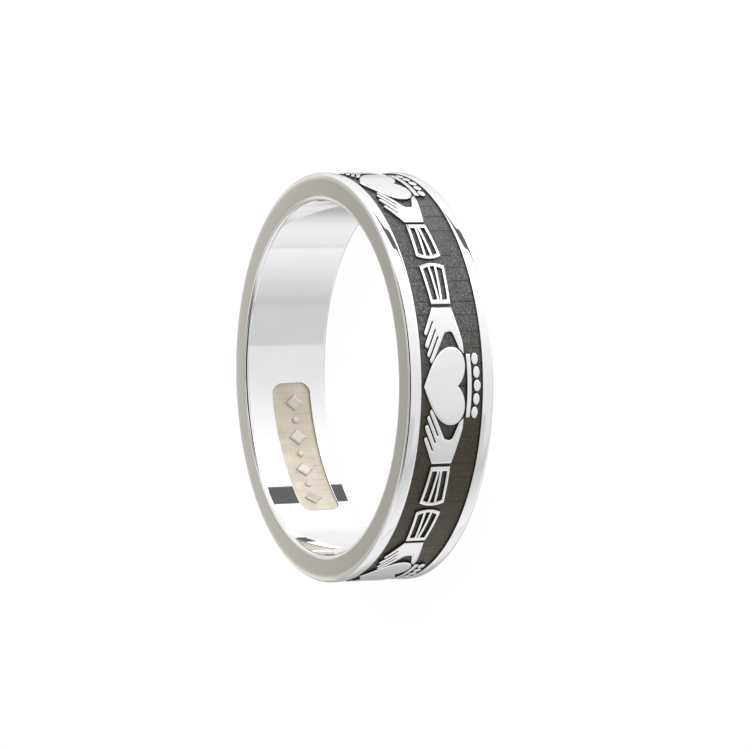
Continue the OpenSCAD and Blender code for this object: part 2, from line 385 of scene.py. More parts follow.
def crown_outlines(lay, steps=16):
    """The bowed bar and the oval beads of a crown."""
    crown = lay.crown
    edge = np.linspace(-1, 1, steps) * crown.length / 2
    upper = np.column_stack([edge, lay.bar_top + bowed(lay, edge, crown.bow)])
    bar = np.vstack([upper - [0, crown.bar], upper[::-1]])
    pitch = (crown.length + 2 * crown.bead_reach + crown.bead_gap) / crown.beads
    outlines = [bar]
    for i in range(crown.beads):
        k = i - (crown.beads - 1) / 2
        height = crown.side_bead_h if k else crown.bead_h
        top = lay.bead_top + bowed(lay, k * pitch, crown.bead_bow)
        outlines.append(oval(np.array([k * pitch, top - height / 2]),
                             (pitch - crown.bead_gap) / 2, height / 2))
    return outlines


def hand_outline(lay):
    """Outline of the right hand: fingers with slits between them, thumb and wrist."""
    hand = lay.hand
    rows = [(*lay.on_hand(row), row[ROUND] * lay.heart_h) for row in FINGERS + PALM]
    rows += [(lay.wrist, lay.arm - hand.wrist_w / 2, 0), (lay.wrist, lay.arm + hand.wrist_w / 2, 0)]
    slits = []
    for mouth, end in SLITS:
        p, q = lay.on_hand(mouth), lay.on_hand(end)
        ahead = unit(q - p) * hand.slit_w / 2
        side = np.array([-ahead[1], ahead[0]])
        slits.append(np.array([p + side, p - side, q - side, q + ahead - side / 2,
                               q + ahead + side / 2, q + side]))
    return region(rounded(rows), slits + [heart_outline(lay, lay.heart.line)])[0]


def cuff_outline(lay, side, near, end, radius, steps=10):
    """Outline of a cuff, drawn in by its side, wrist and end bars."""
    wrist_w, cuff = lay.hand.wrist_w, lay.cuff

    def half(u):
        slope = (cuff.width - wrist_w) / 2 / (lay.cuff_corner - lay.cuff_start)
        return wrist_w / 2 + slope * (u - lay.cuff_start) - side

    first, last = lay.cuff_start + near, lay.cuff_corner - end
    rows = [(first, lay.arm + half(first), radius), (first, lay.arm - half(first), radius)]
    for i in range(-steps, steps + 1):
        rows.append((last + cuff.bulge * (1 - (i / steps) ** 2),
                     lay.arm + half(last) * i / steps, radius if abs(i) == steps else 0))
    return rounded(rows, steps=3)


def cuff_outlines(lay):
    """The right cuff: its frame and the three windows in it."""
    cuff = lay.cuff
    struts = []
    for s in (-1, 1):
        near, far = lay.arm + s * cuff.strut_near / 2, lay.arm + s * cuff.strut_far / 2
        half = cuff.strut_w / 2
        struts.append(np.array([[lay.cuff_start, near - half], [lay.cuff_end, far - half],
                                [lay.cuff_end, far + half], [lay.cuff_start, near + half]]))
    inner = cuff_outline(lay, cuff.side_bar, cuff.wrist_bar, cuff.end_bar, cuff.corner / 2)
    windows = region(inner, struts)
    return [cuff_outline(lay, 0, 0, 0, cuff.corner)] + [window[::-1] for window in windows]


def triangulated(points, edges, faces=()):
    """Triangles over the points that keep the edges, with the faces that own each."""
    places, _, triangles, sources, _, owners = delaunay_2d_cdt(
        [Vector(p) for p in points], edges, faces, WHOLE_HULL, SAME_POINT)
    places = np.array([tuple(p) for p in places])
    for i, source in enumerate(sources):
        if source:
            places[i] = points[source[0]]
    return places, triangles, owners


def area(outline):
    """Signed area of an outline, positive if it runs counter-clockwise."""
    x, y = outline[:, 0], outline[:, 1]
    return np.sum(x * np.roll(y, -1) - y * np.roll(x, -1)) / 2


def region(keep, cuts):
    """Outlines around what is inside keep and outside every cut."""
    outlines = [o if area(o) > 0 else o[::-1] for o in [keep, *cuts]]
    places, triangles, owners = triangulated(np.vstack(outlines), [], numbered(outlines))
    following = {}
    sides = {side for triangle, own in zip(triangles, owners) if set(own) == {0}
             for side in pairs(triangle)}
    for a, b in sides:
        if (b, a) not in sides:
            following[a] = b
    loops = []
    while following:
        here = min(following)
        loop = []
        while here in following:
            loop.append(here)
            here = following.pop(here)
        loops.append(places[loop])
    return sorted(loops, key=lambda outline: -abs(area(outline)))


def even(outline):
    """The outline without crowded points, and with its long edges parted."""
    kept = [outline[0]]
    for p in outline[1:]:
        if np.linalg.norm(p - kept[-1]) > SHORTEST_EDGE:
            kept.append(p)
    if np.linalg.norm(kept[-1] - kept[0]) < SHORTEST_EDGE:
        kept.pop()
    points = []
    for a, b in pairs(kept):
        parts = math.ceil(np.linalg.norm(b - a) / LONGEST_EDGE)
        points += [a + (b - a) * k / parts for k in range(parts)]
    return np.array(points)


def outward(loop):
    """Normals of a loop that point away from the metal on its left: at the start
    and at the end of each edge, and the way in which each point moves outwards."""
    edge = unit(np.roll(loop, -1, axis=0) - loop)
    normal = np.column_stack([edge[:, 1], -edge[:, 0]])
    before = np.roll(normal, 1, axis=0)
    facing = np.sum(normal * before, axis=1)[:, None]
    mean = (normal + before) / np.maximum(1 + facing, SHARPEST_MITRE)
    smooth = facing > CRISP
    shared = unit(normal + before)
    start = np.where(smooth, shared, normal)
    end = np.roll(np.where(smooth, shared, before), -1, axis=0)
    return start, end, mean


def inside(points, loops):
    """Which points lie inside the loops, counting holes."""
    crossings = np.zeros(len(points), int)
    for loop in loops:
        a, b = loop, np.roll(loop, -1, axis=0)
        x, y = points[:, :1], points[:, 1:]
        spans = (a[:, 1] > y) != (b[:, 1] > y)
        rise = np.where(spans, b[:, 1] - a[:, 1], 1)
        at = a[:, 0] + (y - a[:, 1]) / rise * (b[:, 0] - a[:, 0])
        crossings += np.sum(spans & (x < at), axis=1)
    return crossings % 2 == 1


def nearest(points, loops):
    """Distance of each point from the loops, and the direction away from them."""
    a = np.vstack(loops)
    b = np.vstack([np.roll(loop, -1, axis=0) for loop in loops])
    along = b - a
    t = np.sum((points[:, None] - a) * along, axis=2) / np.sum(along ** 2, axis=1)
    away = points[:, None] - (a + np.clip(t, 0, 1)[..., None] * along)
    gap = np.linalg.norm(away, axis=2)
    pick = np.argmin(gap, axis=1)
    rows = np.arange(len(points))
    return gap[rows, pick], away[rows, pick] / np.maximum(gap[rows, pick], SAME_POINT)[:, None]


class Skin:
    """Faces of one mesh, each with a finish and with a normal at each corner."""

    def __init__(self):
        self.points, self.faces, self.normals, self.finishes = [], [], [], []

    def add(self, points, faces, normals, finish):
        """Adds faces over new points, with one normal per corner of each face, and with
        one finish for all or one for each."""
        first = sum(len(p) for p in self.points)
        self.points.append(np.asarray(points, float))
        self.faces += [tuple(first + i for i in face) for face in faces]
        self.normals += normals
        self.finishes += np.broadcast_to(finish, len(faces)).tolist()

    def add_level(self, places, height, triangles, finish, facing=1):
        """Adds triangles at one height that face up, or down with -1."""
        self.add(np.column_stack([places, np.full(len(places), height)]),
                 [t[::facing] for t in triangles], [[(0, 0, facing)] * 3] * len(triangles),
                 finish)

    def bent(self, radius, turn, middle, inward=False):
        """This flat skin laid around a cylinder: x along it, y across, z off its surface."""
        side = -1 if inward else 1
        points = np.vstack(self.points)
        turns = turn + side * points[:, 0] / radius
        off = radius + side * points[:, 2]
        cos, sin = np.cos(turns), np.sin(turns)
        corners = [[(side * (out * cos[i] - along * sin[i]),
                     side * (out * sin[i] + along * cos[i]), across)
                    for i, (along, across, out) in zip(face, normals)]
                   for face, normals in zip(self.faces, self.normals)]
        laid = Skin()
        laid.add(np.column_stack([off * cos, off * sin, middle + points[:, 1]]),
                 self.faces, corners, self.finishes)
        return laid

    def mesh(self, name, materials):
        """A mesh object of the skin, with points at one place made one."""
        points = np.vstack(self.points)
        _, first, same = np.unique(np.round(points / SAME_POINT).astype(np.int64),
                                   axis=0, return_index=True, return_inverse=True)
        same = same.reshape(-1)
        faces, normals, finishes = [], [], []
        for face, corners, finish in zip(self.faces, self.normals, self.finishes):
            face = [int(same[i]) for i in face]
            whole = [k for k in range(len(face)) if face[k] != face[k - 1]]
            if len(whole) > 2:
                faces.append([face[k] for k in whole])
                normals += [corners[k] for k in whole]
                finishes.append(finish)
        mesh = bpy.data.meshes.new(name)
        mesh.from_pydata(points[first].tolist(), [], faces)
        used = sorted(set(finishes))
        for finish in used:
            mesh.materials.append(materials[finish])
        mesh.polygons.foreach_set("material_index", [used.index(f) for f in finishes])
        mesh.polygons.foreach_set("use_smooth", [True] * len(faces))
        mesh.normals_split_custom_set([Vector(n).normalized() for n in normals])
        mesh.update()
        piece = bpy.data.objects.new(name, mesh)
        bpy.context.scene.collection.objects.link(piece)
        return piece


def joined(skins):
    """One skin of several."""
    whole = Skin()
    for skin in skins:
        whole.add(np.vstack(skin.points), skin.faces, skin.normals, skin.finishes)
    return whole


def filled(loops, spacing=None):
    """Triangles inside the loops, over a grid of points if there is a spacing."""
    points = np.vstack(loops)
    edges = [edge for numbers in numbered(loops) for edge in pairs(numbers)]
    if spacing:
        low, high = points.min(axis=0), points.max(axis=0)
        grid = np.stack(np.meshgrid(np.arange(low[0], high[0], spacing),
                                    np.arange(low[1], high[1], spacing)), -1).reshape(-1, 2)
        grid = grid[inside(grid, loops)]
        if len(grid):
            grid = grid[nearest(grid, loops)[0] > spacing / 2]
        points = np.vstack([points, grid])
    places, triangles, _ = triangulated(points, edges)
    triangles = [tuple(t) for t in triangles]
    owner = {(t[k - 1], t[k]): t for t in triangles for k in range(3)}
    within = {owner[edge] for edge in edges}
    fresh, closed = list(within), set(edges)
    while fresh:
        t = fresh.pop()
        for side in ((t[k - 1], t[k]) for k in range(3)):
            beside = owner.get(side[::-1])
            if side not in closed and beside not in within:
                within.add(beside)
                fresh.append(beside)
    return places, [t for t in triangles if t in within]


def add_bank(skin, loop, low, high, finish):
    """Adds the faces between two rings of a loop; a ring is its points, height and tilt."""
    start, end, _ = outward(loop)
    n = len(loop)
    points = np.vstack([np.column_stack([ring[0], np.full(n, ring[1])]) for ring in (low, high)])
    (s0, c0), (s1, c1) = ((math.sin(ring[2]), math.cos(ring[2])) for ring in (low, high))
    corners = [[(*start[i] * s0, c0), (*end[i] * s0, c0), (*end[i] * s1, c1), (*start[i] * s1, c1)]
               for i in range(n)]
    faces = [(a, b, n + b, n + a) for a, b in pairs(list(range(n)))]
    skin.add(points, faces, corners, finish)


def raised(loops, edge, depth, top, wall):
    """Flat skin of a raised shape: a softened top, a broken edge, walls down to depth
    with a little draft, and a bottom. The first loop runs round it, the rest are holes."""
    skin = Skin()
    fall = FALL_POWER * edge.soft_drop / edge.soft_w
    tilts = np.linspace(math.pi / 2, math.atan(fall), EDGE_RINGS)
    steps = [(edge.crisp * (1 - math.sin(t)),
              edge.crisp * (math.cos(t) - math.cos(tilts[-1])) - edge.soft_drop, t)
             for t in tilts]
    bottom = -depth - edge.seat
    rims, feet = [], []
    for loop in [even(loop) for loop in loops]:
        mean = outward(loop)[2]
        rings = [(loop + mean * edge.draft, bottom, math.pi / 2)]
        rings += [(loop - mean * inset, height, tilt) for inset, height, tilt in steps]
        for low, high in zip(rings, rings[1:]):
            add_bank(skin, loop, low, high, wall if low is rings[0] else top)
        rims.append(rings[-1][0])
        feet.append(rings[0][0])
    places, triangles = filled(rims, RELIEF_GRID)
    around = sum(len(rim) for rim in rims)
    gap, away = nearest(places, rims)
    gap[:around] = 0
    away[:around] = -unit(np.vstack([outward(rim)[2] for rim in rims]))
    share_left = np.clip(1 - gap / edge.soft_w, 0, 1)
    slopes = fall * share_left ** (FALL_POWER - 1)
    normals = unit(np.column_stack([-away * slopes[:, None], np.ones(len(places))]))
    skin.add(np.column_stack([places, -edge.soft_drop * share_left ** FALL_POWER]), triangles,
             [[normals[i] for i in t] for t in triangles], top)
    under = places.copy()
    under[:around] = np.vstack(feet)
    skin.add_level(under, bottom, triangles, wall, facing=-1)
    return skin


def arc_run(centre, radius, start, end, steps):
    """Polished arc in the profile, between two angles."""
    turns = np.linspace(start, end, steps + 1)
    normals = np.column_stack([np.cos(turns), np.sin(turns)])
    return np.array(centre) + radius * normals, normals, POLISHED


def flat_run(start, end, finish, steps):
    """A straight stretch of the profile; its outer side is on the right."""
    start, end = np.array(start), np.array(end)
    ahead = unit(end - start)
    points = start + np.linspace(0, 1, steps + 1)[:, None] * (end - start)
    return points, np.tile([ahead[1], -ahead[0]], (steps + 1, 1)), finish


def rim_run(band, low, high, steps=16):
    """A rim's gently domed profile from one height to another."""
    half = (high - low) / 2
    s = np.sin(np.linspace(-1, 1, steps + 1) * math.pi / 2)
    points = np.column_stack([band.outer_d / 2 - band.rim_drop * s ** FALL_POWER,
                              low + half + half * s])
    slope = FALL_POWER * band.rim_drop * s ** (FALL_POWER - 1) / half
    return points, unit(np.column_stack([np.ones(steps + 1), slope])), POLISHED


def mouth_run(band, steps=14):
    """Upper mouth of the bore, from the side face down to the straight wall."""
    turns = np.linspace(0, math.pi / 2, steps + 1)
    across, down = np.sin(turns), 1 - np.cos(turns)
    points = np.column_stack([band.bore_d / 2 + band.mouth_w * (1 - across),
                              band.width - band.mouth_h * down])
    normals = unit(np.column_stack([-across / band.mouth_w, (1 - down) / band.mouth_h]))
    return points, normals, POLISHED


def face_run(band, outside, steps=12, flat_steps=4):
    """Upper side face from its outer edge in to the mouth, falling a little outside."""
    t = np.linspace(1, 0, steps + 1)
    radii = outside - (1 - t) * band.face_fall
    fall = np.column_stack([radii, band.width - band.face_drop * t ** FALL_POWER])
    slope = FALL_POWER * band.face_drop * t ** (FALL_POWER - 1) / band.face_fall
    normals = unit(np.column_stack([slope, np.ones(steps + 1)]))
    flat = np.linspace(radii[-1], band.bore_d / 2 + band.mouth_w, flat_steps + 1)[1:]
    points = np.vstack([fall, np.column_stack([flat, np.full(flat_steps, band.width)])])
    return points, np.vstack([normals, np.tile([0, 1], (flat_steps, 1))]), SATIN


def below(band, run):
    """The same run on the other side of mid band."""
    points, normals, finish = run
    return points[::-1] * [1, -1] + [0, band.width], normals[::-1] * [1, -1], finish


def band_profile(band):
    """Profile of the band as runs of points, normals and finish, once around it."""
    width, lip, edge = band.width, band.lip, band.edge_round
    bore, rim_end = band.bore_d / 2, band.outer_d / 2 - band.rim_drop
    floor = band.outer_d / 2 - band.channel_depth
    low, high = band.rim_w, width - band.rim_w
    fall = math.atan(FALL_POWER * band.rim_drop / (band.rim_w / 2))
    tilt = math.atan(FALL_POWER * band.face_drop / band.face_fall)
    side = rim_end - edge * math.cos(fall)
    top = width - band.face_drop - edge * math.cos(tilt)
    rim_start = width - top - edge * math.sin(fall)
    lip_foot = rim_end - lip * math.cos(fall)
    lip_in = lip * (1 - math.sin(fall))
    outer_edge = arc_run((side, top), edge, fall, math.pi / 2 - tilt, steps=6)
    face = face_run(band, side + edge * math.sin(tilt))
    mouth = mouth_run(band)
    return [
        below(band, outer_edge),
        rim_run(band, rim_start, low - lip_in),
        arc_run((lip_foot, low - lip), lip, fall, math.pi / 2, steps=3),
        flat_run((lip_foot, low), (floor, low), BLACKENED, steps=3),
        flat_run((floor, low), (floor, high), BLACKENED, steps=24),
        flat_run((floor, high), (lip_foot, high), BLACKENED, steps=3),
        arc_run((lip_foot, high + lip), lip, -math.pi / 2, -fall, steps=3),
        rim_run(band, high + lip_in, width - rim_start),
        outer_edge,
        face,
        mouth,
        flat_run((bore, width - band.mouth_h), (bore, band.mouth_h), POLISHED, steps=1),
        below(band, mouth),
        below(band, face),
    ]


def spun(profile, cos, sin):
    """Points or normals of the profile at every step around the band."""
    across, up = profile[:, :1], profile[:, 1:]
    return np.stack([across * cos, across * sin, np.repeat(up, len(cos), axis=1)], axis=-1)


def turned(band, window):
    """The band turned from its profile, open in the bore where the window is."""
    skin = Skin()
    turns = np.arange(STEPS_ROUND + 1) % STEPS_ROUND * STEP
    cos, sin = np.cos(turns), np.sin(turns)
    skipped = {i % STEPS_ROUND for i in range(*window)}
    bore = band.bore_d / 2
    for points, normals, finish in band_profile(band):
        spun_normals = spun(normals, cos, sin)
        is_bore = np.all(np.abs(points[:, 0] - bore) < SAME_POINT)
        faces, corners = [], []
        for j in range(len(points) - 1):
            for i in range(STEPS_ROUND):
                if is_bore and i in skipped:
                    continue
                places = ((j, i), (j, i + 1), (j + 1, i + 1), (j + 1, i))
                faces.append([a * (STEPS_ROUND + 1) + b for a, b in places])
                corners.append([spun_normals[a, b] for a, b in places])
        skin.add(spun(points, cos, sin).reshape(-1, 3), faces, corners, finish)
    return skin


def plate_turn(plate):
    """Direction of the plate's middle, counted from +X."""
    return plate.turn - math.pi / 2


def plate_outline(plate):
    """Outline of the plate in the bore, which leans against the band."""
    half_l, half_w, r = plate.length / 2, plate.width / 2, plate.corner
    flat = rounded([(half_l, half_w, r), (-half_l, half_w, r), (-half_l, -half_w, r),
                    (half_l, -half_w, r)], steps=10)
    c, s = math.cos(plate.lean), math.sin(plate.lean)
    return flat @ np.array([[c, s], [-s, c]]) - [0, plate.shift]


def mark_outlines(plate):
    """Plain lozenges and dots in turn along the middle of the plate."""
    pitch = (plate.length - 2 * plate.corner) / plate.marks
    ahead = np.array([math.cos(plate.lean), -math.sin(plate.lean)])
    outlines = []
    for i in range(plate.marks):
        middle = [0, -plate.shift] + (i - (plate.marks - 1) / 2) * pitch * ahead
        if i % 2:
            outlines.append(oval(middle, plate.dot_d / 2, plate.dot_d / 2))
        else:
            outlines.append(oval(middle, plate.mark_l / 2, plate.mark_h / 2, steps=4))
    return outlines


def recess(band, plate, window):
    """The bore's surface in the window, with the sunk plate in it."""
    skin = Skin()
    bore = band.bore_d / 2
    high = band.width / 2 - band.mouth_h
    turn = plate_turn(plate)
    columns = (turn - np.arange(window[0], window[1] + 1) * STEP) * bore
    frame_loop = np.vstack([[(u, high) for u in columns],
                            [(u, -high) for u in columns[::-1]]])
    hole = even(plate_outline(plate))[::-1]
    places, triangles = filled([frame_loop, hole])
    skin.add_level(places, 0, triangles, POLISHED)
    inwards = outward(hole)[2] * plate.lip
    rings = [(hole + inwards * math.sin(t), -plate.lip * (1 - math.cos(t)), t)
             for t in np.linspace(math.pi / 2, 0, EDGE_RINGS)]
    foot = rings[0][0]
    add_bank(skin, hole, (foot, -plate.depth, math.pi / 2), rings[0], PLATE_WALL)
    for low_ring, high_ring in zip(rings, rings[1:]):
        add_bank(skin, hole, low_ring, high_ring, POLISHED)
    places, triangles = filled([foot[::-1]], PLATE_GRID)
    skin.add_level(places, -plate.depth, triangles, PLATE)
    return skin.bent(bore, turn, band.width / 2, inward=True)


# Places of the mix node's sockets: its factor, and the inputs and result of each kind
MIX_FACTOR = 0
VALUE_A, VALUE_B, VALUE_RESULT = 2, 3, 0
COLOUR_A, COLOUR_B, COLOUR_RESULT = 6, 7, 2

# Range in which a noise texture has most of its values, and its middle
NOISE_RANGE = (0.3, 0.7)
NOISE_MIDDLE = 0.5
# Millimetres on X over which the channel turns from brown to grey, and the plate from
# its pale end to its dark one. The channel's grey side is partly thinner tarnish and
# partly painted light; the plate's pale end is painted light.
CHANNEL_FADE = (-3.0, 3.5)
PLATE_FADE = (-6.8, -2.2)
# Strength and depth of the finest relief on polished silver
POLISH_BUMP = 0.05
POLISH_DEPTH = 0.0005 * MM


def feed(tree, node, inputs):
    """Sets each named input of a node to a value, or links it to a socket."""
    for name, value in inputs.items():
        if isinstance(value, bpy.types.NodeSocket):
            tree.links.new(value, node.inputs[name])
        else:
            node.inputs[name].default_value = value


def add_node(tree, kind, inputs=None, **settings):
    """A new node with its settings and with its inputs fed."""
    node = tree.nodes.new(kind)
    for name, value in settings.items():
        setattr(node, name, value)
    feed(tree, node, inputs or {})
    return node


def math_node(tree, operation, *values):
    """The result of one sum, difference or other step."""
    return add_node(tree, "ShaderNodeMath", dict(enumerate(values)), operation=operation).outputs[0]


def product(tree, value, *factors):
    """All the values multiplied."""
    for factor in factors:
        value = math_node(tree, "MULTIPLY", value, factor)
    return value


def remapped(tree, value, from_low, from_high, to_low=0.0, to_high=1.0, soft=False):
    """A value moved from one range to another and kept inside it."""
    node = add_node(tree, "ShaderNodeMapRange", {
        "Value": value, "From Min": from_low, "From Max": from_high,
        "To Min": to_low, "To Max": to_high,
    }, interpolation_type="SMOOTHSTEP" if soft else "LINEAR")
    return node.outputs["Result"]


def blended(tree, factor, a, b):
    """A value between two values."""
    node = add_node(tree, "ShaderNodeMix", {MIX_FACTOR: factor, VALUE_A: a, VALUE_B: b})
    return node.outputs[VALUE_RESULT]


def mixed(tree, factor, a, b, blend="MIX"):
    """A colour between two colours, or another blend of them."""
    node = add_node(tree, "ShaderNodeMix", {MIX_FACTOR: factor, COLOUR_A: a, COLOUR_B: b},
                    data_type="RGBA", blend_type=blend)
    return node.outputs[COLOUR_RESULT]


def parted(tree, vector):
    """The three parts of a vector."""
    return add_node(tree, "ShaderNodeSeparateXYZ", {0: vector}).outputs


def place_in_mm(tree):
    """The place on the piece in millimetres."""
    here = tree.nodes.new("ShaderNodeTexCoord").outputs["Object"]
    return add_node(tree, "ShaderNodeVectorMath", {0: here, "Scale": 1 / MM},
                    operation="SCALE").outputs[0]


def around_band(tree):
    """Distance around the band in millimetres at the rims, and height above the floor."""
    x, y, z = parted(tree, place_in_mm(tree))
    outer_mm = bpy.context.scene.ring_band.outer_d / 2 / MM
    return product(tree, math_node(tree, "ARCTAN2", y, x), outer_mm), z


def along_x(tree, low, high):
    """Share that grows from nothing to all between two places on X in millimetres."""
    return remapped(tree, parted(tree, place_in_mm(tree))[0], low, high, soft=True)


def new_group(name, inputs, outputs):
    """An empty shader node group, with the sockets of its inputs and its output node."""
    group = bpy.data.node_groups.new(name, "ShaderNodeTree")
    for label, value in inputs.items():
        socket = group.interface.new_socket(label, in_out="INPUT", socket_type="NodeSocketFloat")
        socket.default_value = value
    for label in outputs:
        group.interface.new_socket(label, in_out="OUTPUT", socket_type="NodeSocketFloat")
    given = group.nodes.new("NodeGroupInput").outputs
    return group, given, group.nodes.new("NodeGroupOutput")


def grain_group():
    """Fine grain of a frosted or brushed surface."""
    group, given, out = new_group(
        "fine_grain", {"Grain": 0.05, "Contrast": 1.0, "Share": 0.1}, ["Height", "Sparkle"])
    here = place_in_mm(group)
    scale = math_node(group, "DIVIDE", 1.0, given["Grain"])
    noise = add_node(group, "ShaderNodeTexNoise", {
        "Vector": here, "Scale": scale, "Detail": 3.0, "Roughness": 0.6}).outputs[0]
    cells = add_node(group, "ShaderNodeTexVoronoi", {"Vector": here, "Scale": scale})
    facet = add_node(group, "ShaderNodeSeparateColor", {0: cells.outputs["Color"]}).outputs[0]
    grain = product(group, math_node(group, "SUBTRACT", noise, NOISE_MIDDLE), given["Contrast"])
    dull = math_node(group, "SUBTRACT", 1.0, given["Share"])
    feed(group, out, {"Height": math_node(group, "ADD", grain, NOISE_MIDDLE),
                      "Sparkle": remapped(group, facet, dull, 1.0)})
    return group


def line_group():
    """Thin scribed lines at uneven distances."""
    group, given, out = new_group("scribed_lines", {"Place": 0.0, "Spacing": 1.0, "Width": 0.03},
                                  ["Line"])
    cells = add_node(group, "ShaderNodeTexVoronoi", {
        "W": math_node(group, "DIVIDE", given["Place"], given["Spacing"]),
        "Scale": 1.0, "Randomness": 0.9,
    }, voronoi_dimensions="1D", feature="DISTANCE_TO_EDGE")
    width = math_node(group, "DIVIDE", given["Width"], given["Spacing"])
    feed(group, out, {"Line": remapped(group, cells.outputs["Distance"], 0.0, width, 1.0, 0.0)})
    return group


def drift_group():
    """Slow change of tone over a surface."""
    group, given, out = new_group("tone_drift", {"Size": 2.0, "Seed": 0.0}, ["Tone"])
    noise = add_node(group, "ShaderNodeTexNoise", {
        "Vector": place_in_mm(group), "W": given["Seed"],
        "Scale": math_node(group, "DIVIDE", 1.0, given["Size"]),
        "Detail": 4.0, "Roughness": 0.55}, noise_dimensions="4D").outputs[0]
    feed(group, out, {"Tone": remapped(group, noise, *NOISE_RANGE)})
    return group


def in_group(tree, group, **inputs):
    """A shared effect placed in a material with its own values, lengths in millimetres."""
    return add_node(tree, "ShaderNodeGroup", inputs, node_tree=group).outputs


def new_material(name):
    """The tree of a new material and its surface shader, still without links."""
    material = bpy.data.materials.new(name)
    material.use_nodes = True
    tree = material.node_tree
    return tree, tree.nodes["Principled BSDF"]


def bump(tree, height, strength, depth):
    """Normal of a small relief, with its depth in metres."""
    return add_node(tree, "ShaderNodeBump", {
        "Height": height, "Strength": strength, "Distance": depth}).outputs[0]


def fading(tree, drift, colour, least):
    """A colour that fades to a share of itself as the tone drifts."""
    return mixed(tree, drift, (*colour, 1), (*(least * part for part in colour), 1))


def polished_silver(finish, groups, name, roughness, grain):
    """Bright silver whose polish changes a little over the surface."""
    tree, shader = new_material(name)
    spread = 0.15
    drift = in_group(tree, groups["drift"], Size=1.7)["Tone"]
    fine = in_group(tree, groups["grain"], Grain=grain)["Height"]
    feed(tree, shader, {
        "Base Color": fading(tree, drift, finish.silver, least=0.97),
        "Roughness": remapped(tree, drift, 0.0, 1.0,
                              roughness * (1 - spread), roughness * (1 + spread)),
        "Metallic": 1.0,
        "Normal": bump(tree, fine, POLISH_BUMP, POLISH_DEPTH),
    })


def satin_silver(finish, groups, name):
    """Side faces: silver with a fine circular brushing."""
    tree, shader = new_material(name)
    spread = 0.05
    x, y, _ = parted(tree, place_in_mm(tree))
    radius = math_node(tree, "SQRT",
                       math_node(tree, "ADD", product(tree, x, x), product(tree, y, y)))
    brushing = add_node(tree, "ShaderNodeTexNoise", {
        "W": radius, "Scale": 30.0, "Detail": 3.0}, noise_dimensions="1D").outputs[0]
    drift = in_group(tree, groups["drift"], Size=3.0, Seed=2.0)["Tone"]
    feed(tree, shader, {
        "Base Color": fading(tree, drift, finish.silver, least=0.96),
        "Roughness": remapped(tree, brushing, *NOISE_RANGE,
                              finish.satin * (1 - spread), finish.satin * (1 + spread)),
        "Metallic": 1.0,
        "Normal": bump(tree, brushing, POLISH_BUMP, POLISH_DEPTH),
    })


def blackened_silver(finish, groups, name):
    """Floor and walls of the channel: frosted, tarnished and crossed by scribed lines."""
    tree, shader = new_material(name)
    most_tarnish, line_depth, line_rough = 0.4, 0.8, 0.3
    rough_low, rough_high = 0.32, 0.42
    # Range of the tone over which the lines come and go
    unbroken = (0.1, 0.6)
    around, _ = around_band(tree)
    grain = in_group(tree, groups["grain"], Grain=0.045, Contrast=1.8, Share=0.5)
    drift = in_group(tree, groups["drift"], Size=0.8, Seed=5.0)["Tone"]
    whole = in_group(tree, groups["line"], Place=around, Spacing=0.9, Width=0.05)["Line"]
    lines = product(tree, whole, remapped(tree, drift, *unbroken))
    # Share of the grey side: partly thinner tarnish, partly painted light that makes that side
    # paler
    grey_lit_share = along_x(tree, *CHANNEL_FADE)
    deep = (*finish.black_deep, 1)
    black = mixed(tree, grey_lit_share, (*finish.black, 1), (*finish.black_grey_lit, 1))
    frost = mixed(tree, grey_lit_share, (*finish.frost, 1), (*finish.frost_grey_lit, 1))
    tarnish = remapped(tree, drift, 0.0, 1.0, 0.0, most_tarnish)
    frosted = mixed(tree, grain["Sparkle"], mixed(tree, tarnish, black, deep), frost)
    rough = remapped(tree, grain["Height"], *NOISE_RANGE, rough_high, rough_low)
    height = math_node(tree, "SUBTRACT", grain["Height"], product(tree, lines, line_depth))
    feed(tree, shader, {
        "Base Color": mixed(tree, lines, frosted, deep),
        "Roughness": math_node(tree, "ADD", rough, product(tree, lines, line_rough)),
        "Metallic": product(tree, grain["Sparkle"], math_node(tree, "SUBTRACT", 1.0, lines)),
        "Normal": bump(tree, height, strength=0.7, depth=0.012 * MM),
    })


def matt_plate(finish, groups, name, painted_lit_end, dark_end):
    """The sunk plate in the bore: warm and matt, with fine crossed lines."""
    tree, shader = new_material(name)
    most_tarnish, course_share, line_share, line_depth = 0.3, 0.3, 0.45, 0.6
    rough_low, rough_high = 0.5, 0.7
    # Range of the tone over which the joints come and go
    unbroken = (0.1, 0.7)
    around, across = around_band(tree)
    grain = in_group(tree, groups["grain"], Grain=0.07, Contrast=1.2)["Height"]
    drift = in_group(tree, groups["drift"], Size=0.9, Seed=8.0)["Tone"]
    courses = in_group(tree, groups["line"], Place=across, Spacing=0.3, Width=0.02)["Line"]
    joints = in_group(tree, groups["line"], Place=around, Spacing=0.5, Width=0.035)["Line"]
    lines = math_node(tree, "MAXIMUM", product(tree, courses, course_share),
                      product(tree, joints, remapped(tree, drift, *unbroken)))
    deep = (*finish.plate_deep, 1)
    # Painted light: the plate and its wall turn paler towards one end along X
    light = mixed(tree, along_x(tree, *PLATE_FADE), (*painted_lit_end, 1), (*dark_end, 1))
    tarnished = mixed(tree, remapped(tree, drift, 0.0, 1.0, 0.0, most_tarnish), light, deep)
    height = math_node(tree, "SUBTRACT", grain, product(tree, lines, line_depth))
    feed(tree, shader, {
        "Base Color": mixed(tree, product(tree, lines, line_share), tarnished, deep),
        "Roughness": remapped(tree, grain, *NOISE_RANGE, rough_low, rough_high),
        "Metallic": 0.45,
        "Normal": bump(tree, height, strength=0.5, depth=0.008 * MM),
    })


